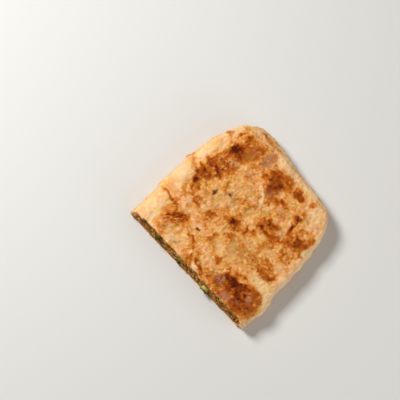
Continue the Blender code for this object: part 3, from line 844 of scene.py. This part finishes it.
# The cut edge takes the grey of the meat from its juice, and more grey at its foot as painted shade, and the
# far and right edges have the most flour.
greens = spots(warped_along, warped_in, SCALLION_UNDER_CRUST).max(axis=0) * on_top
meat_grey_and_foot_shade = strongest(MEAT_UNDER_CRUST) * fade(rough(places, 3.2 * MM, 61.0), -0.25, 0.3)
meat_grey_and_foot_shade = np.where(on_rim, np.maximum(0.8 * stained, 0.5 * painted_shade_at_foot), meat_grey_and_foot_shade)
thin = strongest(THIN_DOUGH) * fade(rough(places, 2.6 * MM, 62.0), -0.5, 0.1)
far_or_right = np.maximum(fade(inward, 86.0, 98.0), fade(along, 96.0, 106.0)) * folded * upward
floury = np.maximum(strongest(FLOURY), 0.8 * far_or_right) * fade(rough(places, 3.0 * MM, 63.0), -0.5, 0.2)
dusted = fade(rough(places, 7 * MM, 58.0), -0.1, 0.4) * on_side
floury = np.maximum(floury, SIDE_FLOUR * dusted) * (1.0 - fade(brown_light_and_shade, 0.50, 0.75))
floury = np.maximum(floury, 0.25 * flecks * on_top)
# On the crust the browning number also holds painted highlights and shade, and the meat_under and crumb
# numbers hold painted shade at the foot of the cut.
DOUGH_LOOKS = {
    "browning": brown_light_and_shade, "scallion_under": greens, "meat_under": meat_grey_and_foot_shade, "thin_dough": thin, "floury": floury,
    "crumb": crumb_and_foot_shade, "oiled": skin * (0.35 + 0.65 * on_top * (1.0 - 0.6 * folded)),
}
for name, values in DOUGH_LOOKS.items():
    set_values(crust, name, values)
print("browning on top: mean", round(float(brown_light_and_shade[on_top > 0.5].mean()), 2))

# %% [markdown]
# ## Layers at the cut
#
# Inside the wrapper the parcel is thin sheets of dough with minced meat between them. Each inner sheet is a
# grid of quads laid into the gap between two CAD meat layers. Rays cast at the layers, down onto the lower
# one and up onto the upper one, tell where that gap lies, so the sheet bends as the layers do. The grid's
# rows are closer together at the cut, where the edge is seen, and Solidify gives the dough its thickness.

# %% Where the meat layers lie
LAYERS = ("meat_1", "meat_2", "meat_3")
UP, DOWN = Vector((0.0, 0.0, 1.0)), Vector((0.0, 0.0, -1.0))
BEHIND_CUT = 3.0 * MM
TRIES, TOWARDS_MIDDLE = 30, 0.985
meat_boxes = {name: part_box(name) for name in LAYERS}
meat_trees = {}
for name in LAYERS:
    mesh = frame["nodes"][name].data
    meat_trees[name] = BVHTree.FromPolygons(
        [point.co for point in mesh.vertices], [tuple(face.vertices) for face in mesh.polygons]
    )


def layer_face(name, x, y, heading):
    """Height of a meat layer's top (heading DOWN) or underside (heading UP), where the layer still is."""
    low, high = meat_boxes[name]
    middle = Vector(((low.x + high.x) / 2, (low.y + high.y) / 2))
    start_z = high.z + 5 * MM if heading is DOWN else low.z - 5 * MM
    place = Vector((x, max(y, knife_y(low.z) + BEHIND_CUT)))
    for _ in range(TRIES):
        hit = meat_trees[name].ray_cast(Vector((place.x, place.y, start_z)), heading)[0]
        if hit:
            return hit.z
        place = middle + (place - middle) * TOWARDS_MIDDLE
    return (low.z + high.z) / 2


print("layer heights in the middle:", [
    (round(layer_face(n, 0, 0, UP) / MM, 1), round(layer_face(n, 0, 0, DOWN) / MM, 1)) for n in LAYERS
])

# %% Inner sheets of dough
SHEET = 0.8 * MM
SHEET_SET_BACK = 0.9 * MM
SHEET_HALF_WIDTH, SHEET_DEPTH = 51.5 * MM, 102.5 * MM
SHEET_GRID, ROWS_TO_CUT = (151, 45), 1.6
SHEET_RAGGED, SHEET_DROOP = 0.9, 0.5
SHEET_EDGE, SHEET_GRAIN = 0.3 * MM, 0.10 * MM
CORNER_ROUND, CORNER_POWER = 0.115, 7.7


def add_grid(rows, size):
    """A flat grid with so many points across and deep."""
    bpy.ops.mesh.primitive_grid_add(x_subdivisions=rows[0] - 1, y_subdivisions=rows[1] - 1, size=size)
    return bpy.context.object


def make_sheet(number, below, above):
    """A sheet laid between two meat layers: flat grid, laid, thickened, and grained."""
    sheet = add_grid(SHEET_GRID, 2.0)
    sheet.name = sheet.data.name = "sheet_%d" % number
    flat = points_of(sheet)
    across, deep = flat[:, 0], ((flat[:, 1] + 1.0) / 2.0) ** ROWS_TO_CUT
    laid = np.empty_like(flat)
    laid[:, 0] = SHEET_HALF_WIDTH * across * (1.0 - CORNER_ROUND * deep ** CORNER_POWER)
    inwards = SHEET_DEPTH * deep * (1.0 - CORNER_ROUND * np.abs(across) ** CORNER_POWER)
    for i, (x, y_in) in enumerate(zip(laid[:, 0], inwards)):
        y = KNIFE_POINT.y + y_in
        z = (layer_face(below, x, y, DOWN) + layer_face(above, x, y, UP)) / 2
        laid[i, 1:] = (knife_y(z) + y_in, z)
    at_cut = 1.0 - fade(inwards, 0.0, 5 * MM)
    layer = 70.0 + number
    laid[:, 1] += SHEET_SET_BACK * at_cut
    ragged = rough(laid, 5 * MM, layer) + 0.5 * rough(laid, 1.8 * MM, layer)
    laid[:, 1] += SHEET_RAGGED * MM * at_cut * ragged
    laid[:, 2] += SHEET_DROOP * MM * at_cut * rough(laid, 6 * MM, layer + 0.5)
    set_points(sheet, laid)
    apply_modifier("SOLIDIFY", thickness=SHEET, offset=0.0)
    apply_modifier("BEVEL", width=SHEET_EDGE, segments=1, limit_method="ANGLE")
    body = points_of(sheet)
    body += normals_of(sheet) * (SHEET_GRAIN * rough(body, 1.3 * MM, layer))[:, None]
    set_points(sheet, body)
    juice = fade(rough(body, 4 * MM, layer + 3.0), -0.35, 0.35)
    looks = {"browning": 0.26 + 0.34 * juice, "meat_under": 0.3 + 0.5 * juice, "crumb": 0.6 * (1.0 - juice)}
    for name in DOUGH_LOOKS:
        set_values(sheet, name, looks.get(name, np.zeros(len(body))))
    return sheet


sheets = [make_sheet(1, "meat_1", "meat_2"), make_sheet(2, "meat_2", "meat_3")]
print("sheets:", [triangles(sheet) for sheet in sheets], "triangles")

# %% [markdown]
# ## Minced meat
#
# Each layer is a soft mass with crumbs of minced meat on its cut face. The mass is the CAD layer, cut back
# a little behind the knife. The crumbs are copies of one small ball, dented by noise into a few shapes. Each
# lies in the cut with its own size, turn and tone, from the underside of the layer to its top. The uppermost
# layer sits further back, because it shrank away from the top crust in the pan and left a dark gap there,
# and its crumbs are made the darkest as painted shade of that gap under the crust.

# %% Crumbs of meat
CRUMBS_PER_LAYER = 330
CRUMB_SMALL, CRUMB_LARGE = 0.45 * MM, 1.6 * MM
CRUMB_SHAPES = 8
BROAD_DENT, BROAD_DENT_DEPTH, SMALL_DENT, SMALL_DENT_DEPTH = 0.9, 0.38, 0.42, 0.20
LAYER_SET_BACK = {"meat_1": 0.0, "meat_2": 0.5 * MM, "meat_3": 2.6 * MM}
# The top layer's low tone darkens its crumbs as painted shade under the crust; the other two tones are the
# meat's own.
LAYER_TONE_AND_GAP_SHADE = {"meat_1": 0.12, "meat_2": 0.02, "meat_3": -0.34}
CORE_BEHIND, CORE_TONE = 1.0 * MM, 0.3
LEAN_TONES, LEAN_PALEST = (0.18, 0.88), 0.84
FAT_SHARE, FAT_TONE = 0.08, 0.94


def pile(name, value_name, copies):
    """One piece of many copies; each copy is its points, its faces and one number for the material."""
    points, faces, values, start = [], [], [], 0
    for copy_points, copy_faces, value in copies:
        points.append(copy_points)
        faces += [tuple(corner + start for corner in face) for face in copy_faces]
        values += [value] * len(copy_points)
        start += len(copy_points)
    mesh = bpy.data.meshes.new(name)
    mesh.from_pydata(np.vstack(points).tolist(), [], faces)
    piece = new_piece(name, mesh)
    set_values(piece, value_name, values)
    return piece


def make_crumb_shapes():
    """A few dented balls of radius 1, each an array of points, and the faces they share."""
    bpy.ops.mesh.primitive_ico_sphere_add(subdivisions=2, radius=1.0)
    ball = bpy.context.object
    round_points = points_of(ball)
    faces = [tuple(face.vertices) for face in ball.data.polygons]
    shapes = []
    for layer in range(0, 10 * CRUMB_SHAPES, 10):
        dents = rough(round_points, BROAD_DENT, layer) * BROAD_DENT_DEPTH
        dents += rough(round_points, SMALL_DENT, layer + 5) * SMALL_DENT_DEPTH
        shapes.append(round_points * (1.0 + dents)[:, None])
    bpy.data.objects.remove(ball)
    return shapes, faces


crumb_shapes, crumb_faces = make_crumb_shapes()


def scatter_crumbs(name, draw):
    """One layer's crumbs: for each its points, faces and tone."""
    low, high = meat_boxes[name]
    for _ in range(CRUMBS_PER_LAYER):
        radius = CRUMB_SMALL + (CRUMB_LARGE - CRUMB_SMALL) * draw.random() ** 1.5
        x = draw.uniform(low.x + 0.6 * MM, high.x - 0.6 * MM)
        under, over = layer_face(name, x, low.y, UP), layer_face(name, x, low.y, DOWN)
        z = under + (over - under) * draw.uniform(0.06, 0.88)
        back = LAYER_SET_BACK[name] + abs(draw.normal(0.0, 0.45 * MM))
        middle = Vector((x, knife_y(z) + 0.75 * radius + back, z))
        turned = Matrix.Rotation(draw.uniform(0, math.tau), 3, Vector(draw.normal(size=3)).normalized())
        stretch = np.array([draw.uniform(0.75, 1.3), draw.uniform(0.75, 1.1), draw.uniform(0.7, 1.0)])
        shape_points = crumb_shapes[draw.integers(CRUMB_SHAPES)] * stretch * radius
        fat = draw.random() < FAT_SHARE
        tone = FAT_TONE if fat else min(draw.uniform(*LEAN_TONES) + LAYER_TONE_AND_GAP_SHADE[name], LEAN_PALEST)
        yield shape_points @ np.array(turned) + np.array(middle), crumb_faces, tone


def make_filling(number, name):
    """One layer: its solid, cut back behind the knife, joined with the crumbs of its cut face."""
    piece = copy_node(name, "filling_%d" % number)
    start_editing()
    set_back = Vector((0.0, LAYER_SET_BACK[name] + CORE_BEHIND, 0.0))
    cut_mesh(KNIFE_POINT + set_back, close=True)
    stop_editing()
    set_values(piece, "tone", [CORE_TONE] * len(piece.data.vertices))
    crumbs = pile("crumbs", "tone", scatter_crumbs(name, np.random.default_rng(number)))
    make_active(piece)
    crumbs.select_set(True)
    bpy.ops.object.join()
    bpy.ops.object.shade_smooth()
    return piece


fillings = [make_filling(number, name) for number, name in enumerate(LAYERS, start=1)]
print("fillings:", [triangles(filling) for filling in fillings], "triangles")

# %% [markdown]
# ## Scallion
#
# Chopped scallion leaf is fried in with the meat. Small bits of it are curled strips: a narrow grid rolled
# round its length, given a thickness, and copied into the cut at many turns. Three larger slices stand out
# of the cut. Those are CAD nodes, so each is a copy of its node with more points, ribbed lengthwise as a
# leaf is.

# %% Small bits of scallion
BITS = 34
BIT_GRID = (9, 4)
BIT_LENGTHS, BIT_WIDTHS, BIT_CURLS, BIT_TWISTS = (1.6, 4.2), (0.8, 1.7), (0.6, 3.4), (-0.5, 0.5)
LEAF = 0.30 * MM


def make_bit(draw):
    """One curled strip of leaf about the origin: its points and its faces."""
    bit = add_grid(BIT_GRID, 1.0)
    length, width = draw.uniform(*BIT_LENGTHS) * MM, draw.uniform(*BIT_WIDTHS) * MM
    curl = draw.uniform(*BIT_CURLS)
    flat = points_of(bit)
    radius = width / curl
    angle = flat[:, 1] * curl + flat[:, 0] * draw.uniform(*BIT_TWISTS)
    rolled = np.column_stack((flat[:, 0] * length, radius * np.sin(angle), radius * (np.cos(angle) - 1.0)))
    set_points(bit, rolled)
    apply_modifier("SOLIDIFY", thickness=LEAF, offset=0.0)
    points = points_of(bit)
    faces = [tuple(face.vertices) for face in bit.data.polygons]
    bpy.data.objects.remove(bit)
    return points, faces


def scatter_bits(draw):
    """All bits: for each its points, faces and paleness."""
    for _ in range(BITS):
        name = LAYERS[draw.integers(len(LAYERS))]
        low, high = meat_boxes[name]
        points, faces = make_bit(draw)
        x = draw.uniform(low.x + 2 * MM, high.x - 2 * MM)
        z = draw.uniform(layer_face(name, x, low.y, UP), layer_face(name, x, low.y, DOWN))
        tipped = Matrix.Rotation(draw.normal(0.0, 0.7), 3, "Y")
        turned = tipped @ Matrix.Rotation(draw.uniform(0, math.tau), 3, "X")
        turned = Matrix.Rotation(draw.normal(0.0, 0.35), 3, "Z") @ turned
        middle = np.array((x, knife_y(z) + LAYER_SET_BACK[name] + draw.uniform(0.0, 0.7) * MM, z))
        yield points @ np.array(turned).T + middle, faces, draw.uniform(0.0, 0.75)


scallion_bits = pile("scallion_bits", "paleness", scatter_bits(np.random.default_rng(5)))
bpy.ops.object.shade_smooth()
print("scallion bits:", triangles(scallion_bits), "triangles")

# %% Slices that stand out of the cut
RIB, RIB_WIDTH = 0.09 * MM, 0.55 * MM
LEAF_GRAIN, PALE_FROM = 0.12 * MM, 2.2 * MM
SLICE_PALE = {"scallion_1": 0.85, "scallion_2": 0.25, "scallion_3": 0.35}


def make_slice(node):
    """A slice with ribs, paler away from its foot in the meat."""
    piece = copy_node(node, node + "_leaf")
    start_editing()
    bpy.ops.mesh.subdivide(number_cuts=2, smoothness=0.0)
    stop_editing()
    apply_modifier("SMOOTH", factor=0.5, iterations=4)
    body = points_of(piece)
    ribs = np.sin((body[:, 0] + 0.4 * body[:, 2]) / RIB_WIDTH * math.pi)
    body += normals_of(piece) * (RIB * ribs + LEAF_GRAIN * rough(body, 0.9 * MM))[:, None]
    set_points(piece, body)
    foot_share = 1.0 - fade(body[:, 1], body[:, 1].min(), body[:, 1].min() + PALE_FROM)
    pale = SLICE_PALE[node] * (1.0 - 0.9 * foot_share) + 0.12 * rough(body, 1.2 * MM, 3.0)
    set_values(piece, "paleness", np.clip(pale, 0.0, 1.0))
    bpy.ops.object.shade_smooth()
    return piece


slices = {node: make_slice(node) for node in SLICE_PALE}
print("slices:", {node: triangles(piece) for node, piece in slices.items()})

# %% [markdown]
# ## Node groups
#
# Every surface of the pie is mottled and rough at the scale of a millimetre, so two effects are built once
# as node groups. *mottle* adds noise of two sizes to a value, and *moist bump* makes the fine unevenness
# that breaks up the shine. Each material places them with its own sizes and amounts.

# %% Node helpers and groups
def srgb(red, green, blue):
    """A colour given in 0 to 255 as a screen shows it, made linear for a shader."""
    linear = [((c / 255 + 0.055) / 1.055) ** 2.4 if c > 10 else c / 255 / 12.92 for c in (red, green, blue)]
    return (*linear, 1.0)


def add_node(tree, kind, inputs=None, **settings):
    """Adds a node, sets its properties, and gives its inputs a value or another node's output."""
    node = tree.nodes.new(kind)
    for name, value in settings.items():
        setattr(node, name, value)
    for name, given in (inputs or {}).items():
        if isinstance(given, bpy.types.NodeSocket):
            tree.links.new(given, node.inputs[name])
        else:
            node.inputs[name].default_value = given
    return node


def maths(tree, operation, *terms):
    """The result of a Math node; each term is an output or a number."""
    return add_node(tree, "ShaderNodeMath", dict(enumerate(terms)), operation=operation).outputs[0]


def remap(tree, value, low, high, to_low, to_high):
    """A value whose range from low to high is stretched to another range."""
    ends = {"From Min": low, "From Max": high, "To Min": to_low, "To Max": to_high}
    return add_node(tree, "ShaderNodeMapRange", {"Value": value, **ends}).outputs["Result"]


def new_group(name, inputs, outputs):
    """An empty node group with named number sockets; each input has its value."""
    tree = bpy.data.node_groups.new(name, "ShaderNodeTree")
    for label, value in inputs.items():
        socket = tree.interface.new_socket(name=label, in_out="INPUT", socket_type="NodeSocketFloat")
        socket.default_value = value
    for label in outputs:
        tree.interface.new_socket(name=label, in_out="OUTPUT", socket_type="NodeSocketFloat")
    return tree, tree.nodes.new("NodeGroupInput").outputs, tree.nodes.new("NodeGroupOutput").inputs


def noise_texture(tree, size, detail=4.0):
    """Noise whose lumps have a size in metres."""
    place = add_node(tree, "ShaderNodeTexCoord").outputs["Object"]
    inputs = {"Vector": place, "Scale": maths(tree, "DIVIDE", 1.0, size), "Detail": detail, "Roughness": 0.55}
    return add_node(tree, "ShaderNodeTexNoise", inputs).outputs["Fac"]


def build_mottle():
    """The group *mottle*: a value with noise of two sizes added, and the finer noise by itself."""
    tree, given, result = new_group("mottle", {
        "Value": 0.5, "Coarse size": 3 * MM, "Fine size": 1 * MM, "Coarse amount": 0.2, "Fine amount": 0.2,
    }, ("Value", "Noise"))
    value = given["Value"]
    for part in ("Coarse", "Fine"):
        lumps = noise_texture(tree, given[part + " size"])
        centred = maths(tree, "SUBTRACT", lumps, 0.5)
        value = maths(tree, "MULTIPLY_ADD", centred, given[part + " amount"], value)
    tree.links.new(value, result["Value"])
    tree.links.new(lumps, result["Noise"])
    return tree


def build_moist_bump():
    """The group *moist bump*: the height of fine unevenness of two sizes."""
    tree, given, result = new_group(
        "moist bump", {"Coarse size": 1.2 * MM, "Fine size": 0.4 * MM, "Height": 0.1 * MM}, ("Height",)
    )
    coarse = noise_texture(tree, given["Coarse size"], detail=3.0)
    fine = noise_texture(tree, given["Fine size"], detail=2.0)
    height = maths(tree, "MULTIPLY", maths(tree, "MULTIPLY_ADD", fine, 0.35, coarse), given["Height"])
    tree.links.new(height, result["Height"])
    return tree


mottle_group = build_mottle()
moist_bump_group = build_moist_bump()


def new_material(name):
    """A node material: its tree and its shader."""
    material = bpy.data.materials.new(name)
    material.use_nodes = True
    return material, material.node_tree, material.node_tree.nodes["Principled BSDF"]


def attribute(tree, name):
    """The number that the points of a piece carry under a name."""
    return add_node(tree, "ShaderNodeAttribute", attribute_name=name).outputs["Fac"]


def mottle(tree, value, sizes, amounts):
    """Places the mottle group: a value and noise of two sizes, coarse and fine, by two amounts."""
    return add_node(tree, "ShaderNodeGroup", {
        "Value": value, "Coarse size": sizes[0], "Fine size": sizes[1],
        "Coarse amount": amounts[0], "Fine amount": amounts[1],
    }, node_tree=mottle_group).outputs


def colour_ramp(tree, value, stops):
    """Colours by value: each stop is a place from 0 to 1 and a colour."""
    ramp = add_node(tree, "ShaderNodeValToRGB", {"Fac": value})
    elements = ramp.color_ramp.elements
    while len(elements) < len(stops):
        elements.new(0.5)
    for element, (position, colour) in zip(elements, stops):
        element.position = position
        element.color = colour
    return ramp.outputs["Color"]


def mix_colour(tree, share, first, second, blend="MIX"):
    """Mixes two colours; each is an output or a fixed colour, and so is the share."""
    inputs = {0: share, 6: first, 7: second}
    return add_node(tree, "ShaderNodeMix", inputs, data_type="RGBA", blend_type=blend).outputs[2]


def add_moist_bump(tree, shader, coarse, fine, height):
    """Feeds the shader's normal with unevenness of two sizes and a height, all in metres."""
    sizes = {"Coarse size": coarse, "Fine size": fine, "Height": height}
    raised = add_node(tree, "ShaderNodeGroup", sizes, node_tree=moist_bump_group).outputs["Height"]
    bump = add_node(tree, "ShaderNodeBump", {"Height": raised, "Strength": 1.0, "Distance": 1.0})
    tree.links.new(bump.outputs["Normal"], shader.inputs["Normal"])


# %% [markdown]
# ## The fried dough
#
# The colour comes from the browning number through a ramp of the real colours: cream, golden, orange
# brown, dark brown. On the crust that number also holds painted highlights on bubble tops, wrinkles and wave
# crests, painted shade in creases and cracks, and painted light on the right edge. Mottling is added to the
# number before the ramp, so a patch's edge breaks up as it does on a real crust, and a second, broader
# mottling tints the crust pinkish here and yellowish there. Over that lie the colours that show through it or
# dried on it, and painted shade at the foot of the cut. The oil gives a soft sheen, stronger on the brown.

# %% Fried dough material
BROWNING_RAMP = (
    (0.00, srgb(248, 206, 156)),
    (0.14, srgb(240, 188, 130)),
    (0.34, srgb(229, 166, 98)),
    (0.50, srgb(217, 142, 62)),
    (0.64, srgb(194, 106, 24)),
    (0.78, srgb(164, 76, 4)),
    (0.91, srgb(123, 44, 0)),
    (1.00, srgb(88, 23, 0)),
)
TINT_RAMP = ((0.34, (1.0, 0.88, 0.98, 1.0)), (0.50, (1.0, 1.0, 1.0, 1.0)), (0.66, (0.95, 1.0, 0.70, 1.0)))
# What lies over the browned colour: the number of each point that says where, its strength, and its colour.
OVERLAYS = (
    ("meat_under", 0.65, srgb(178, 124, 52)),
    ("thin_dough", 0.55, srgb(182, 132, 102)),
    ("floury", 0.60, srgb(226, 196, 154)),
    ("scallion_under", 1.0, srgb(104, 46, 0)),
    ("crumb", 1.0, srgb(222, 176, 104)),
)
OIL_TINT = (1.0, 0.70, 0.42, 1.0)

crust_material, tree, shader = new_material("fried_dough")
browning = attribute(tree, "browning")
# The browned patches are mottled less than the pale crust: both amounts of mottling fall as it browns.
amounts = [remap(tree, browning, 0.60, 0.85, *ends) for ends in ((0.36, 0.24), (0.30, 0.16))]
mottled = mottle(tree, browning, (3.0 * MM, 0.8 * MM), amounts)
tints = mottle(tree, 0.5, (5.0 * MM, 1.6 * MM), (1.1, 0.35))
colour = colour_ramp(tree, mottled["Value"], BROWNING_RAMP)
colour = mix_colour(tree, 1.0, colour, colour_ramp(tree, tints["Value"], TINT_RAMP), "MULTIPLY")
for name, strength, over in OVERLAYS:
    colour = mix_colour(tree, maths(tree, "MULTIPLY", attribute(tree, name), strength), colour, over)
tree.links.new(colour, shader.inputs["Base Color"])
# Dry crust is rough, least where it is brown, and the oil makes it smoother, here more and there less.
dry = remap(tree, mottled["Value"], 0.0, 1.0, 0.82, 0.58)
oil = remap(tree, mottled["Noise"], 0.45, 0.65, -0.20, -0.32)
tree.links.new(maths(tree, "MULTIPLY_ADD", oil, attribute(tree, "oiled"), dry), shader.inputs["Roughness"])
shader.inputs["Specular IOR Level"].default_value = 0.20
shader.inputs["Specular Tint"].default_value = OIL_TINT
add_moist_bump(tree, shader, 1.8 * MM, 0.7 * MM, 0.65 * MM)

# %% [markdown]
# ## Meat and scallion finishes
#
# Fried mince is grey-brown where it steamed and darker where it browned, with a few pale bits of fat. Each
# crumb carries one tone, and the ramp turns it into a colour. Cooked scallion goes from a dark, dull green
# to a pale yellow-green inside the leaf. Both are moist, so they are smoother than the dough.

# %% Meat and scallion materials
MEAT_RAMP = (
    (0.00, srgb(72, 34, 4)),
    (0.25, srgb(122, 70, 14)),
    (0.50, srgb(158, 97, 28)),
    (0.72, srgb(184, 122, 46)),
    (0.86, srgb(204, 148, 74)),
    (1.00, srgb(232, 200, 140)),
)
SCALLION_RAMP = (
    (0.00, srgb(64, 60, 6)),
    (0.35, srgb(106, 96, 14)),
    (0.70, srgb(168, 148, 60)),
    (1.00, srgb(214, 196, 122)),
)


def moist_material(name, value_name, stops, size, roughness):
    """A moist finish whose colour follows one number of the piece through a ramp."""
    material, tree, shader = new_material(name)
    mottled = mottle(tree, attribute(tree, value_name), (size, size * 0.35), (0.30, 0.30))
    tree.links.new(colour_ramp(tree, mottled["Value"], stops), shader.inputs["Base Color"])
    gloss = remap(tree, mottled["Noise"], 0.3, 0.7, roughness - 0.12, roughness + 0.12)
    tree.links.new(gloss, shader.inputs["Roughness"])
    add_moist_bump(tree, shader, size * 0.4, size * 0.15, 0.12 * MM)
    shader.inputs["Specular IOR Level"].default_value = 0.14
    shader.inputs["Specular Tint"].default_value = OIL_TINT
    return material


meat_material = moist_material("minced_meat", "tone", MEAT_RAMP, 1.6 * MM, 0.46)
scallion_material = moist_material("scallion", "paleness", SCALLION_RAMP, 1.2 * MM, 0.38)

# %% Dress the pieces
for piece in (crust, *sheets):
    piece.data.materials.append(crust_material)
    make_active(piece)
    bpy.ops.object.shade_smooth()
    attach(piece, "root")
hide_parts("dough")
for filling, node in zip(fillings, LAYERS):
    filling.data.materials.append(meat_material)
    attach(filling, "root")
    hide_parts(node)
for node, piece in slices.items():
    piece.data.materials.append(scallion_material)
    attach(piece, "root")
    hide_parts(node)
scallion_bits.data.materials.append(scallion_material)
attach(scallion_bits, "root")
